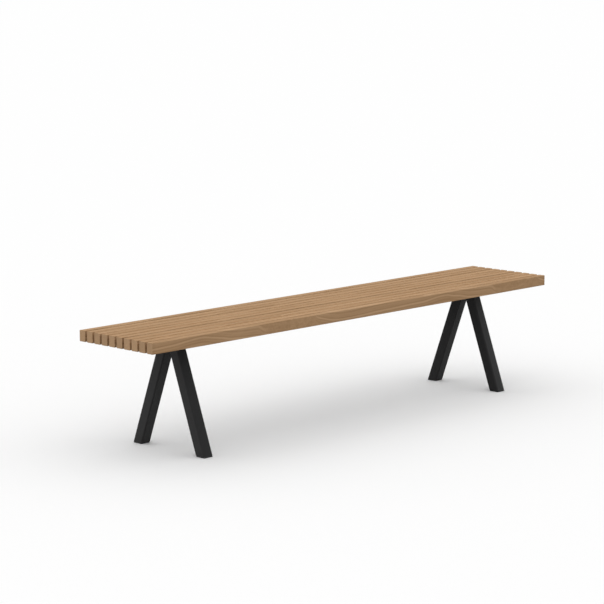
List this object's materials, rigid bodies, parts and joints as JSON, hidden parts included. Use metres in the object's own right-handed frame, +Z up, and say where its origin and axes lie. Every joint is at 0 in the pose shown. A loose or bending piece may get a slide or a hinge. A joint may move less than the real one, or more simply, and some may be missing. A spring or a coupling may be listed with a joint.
{
  "type": "backless bench",
  "caption": "Long backless bench: narrow hardwood slats run lengthwise over two black inverted-V legs of square steel tube.",
  "frame": {"origin": "on the floor, under the middle of the seat", "axes": "+X along the seat, +Z up; the front of the bench faces -Y; the bench is symmetric about X = 0 and about Y = 0"},
  "size_m": [2.2, 0.39, 0.454],
  "materials": {
    "slat_wood": "oiled light brown hardwood with a flowing grain figure, matt",
    "leg_coat": "black powder coat, fine texture, matt",
    "bar_coat": "black powder coat, fine texture, matt",
    "foot_plastic": "moulded black polyethylene",
    "fastener_steel": "plain stainless steel"
  },
  "bodies": {
    "root": {"slat_01": "slat_wood", "slat_02": "slat_wood", "slat_03": "slat_wood", "slat_04": "slat_wood", "slat_05": "slat_wood", "slat_06": "slat_wood", "slat_07": "slat_wood", "slat_08": "slat_wood", "slat_09": "slat_wood", "slat_10": "slat_wood", "bearer_left": "bar_coat", "bearer_right": "bar_coat", "strip_middle": "bar_coat", "head_plate_left": "leg_coat", "head_plate_right": "leg_coat", "leg_tube_left_front": "leg_coat", "leg_tube_left_back": "leg_coat", "leg_tube_right_front": "leg_coat", "leg_tube_right_back": "leg_coat", "foot_cap_left_front": "foot_plastic", "foot_cap_left_back": "foot_plastic", "foot_cap_right_front": "foot_plastic", "foot_cap_right_back": "foot_plastic", "wood_screw_left_01": "fastener_steel", "wood_screw_left_02": "fastener_steel", "wood_screw_left_04": "fastener_steel", "wood_screw_left_05": "fastener_steel", "wood_screw_left_06": "fastener_steel", "wood_screw_left_07": "fastener_steel", "wood_screw_left_09": "fastener_steel", "wood_screw_left_10": "fastener_steel", "wood_screw_middle_01": "fastener_steel", "wood_screw_middle_02": "fastener_steel", "wood_screw_middle_03": "fastener_steel", "wood_screw_middle_04": "fastener_steel", "wood_screw_middle_05": "fastener_steel", "wood_screw_middle_06": "fastener_steel", "wood_screw_middle_07": "fastener_steel", "wood_screw_middle_08": "fastener_steel", "wood_screw_middle_09": "fastener_steel", "wood_screw_middle_10": "fastener_steel", "wood_screw_right_01": "fastener_steel", "wood_screw_right_02": "fastener_steel", "wood_screw_right_04": "fastener_steel", "wood_screw_right_05": "fastener_steel", "wood_screw_right_06": "fastener_steel", "wood_screw_right_07": "fastener_steel", "wood_screw_right_09": "fastener_steel", "wood_screw_right_10": "fastener_steel", "coach_screw_left_03a": "fastener_steel", "coach_screw_left_03b": "fastener_steel", "coach_screw_left_08a": "fastener_steel", "coach_screw_left_08b": "fastener_steel", "coach_screw_right_03a": "fastener_steel", "coach_screw_right_03b": "fastener_steel", "coach_screw_right_08a": "fastener_steel", "coach_screw_right_08b": "fastener_steel"}
  },
  "joints": []
}
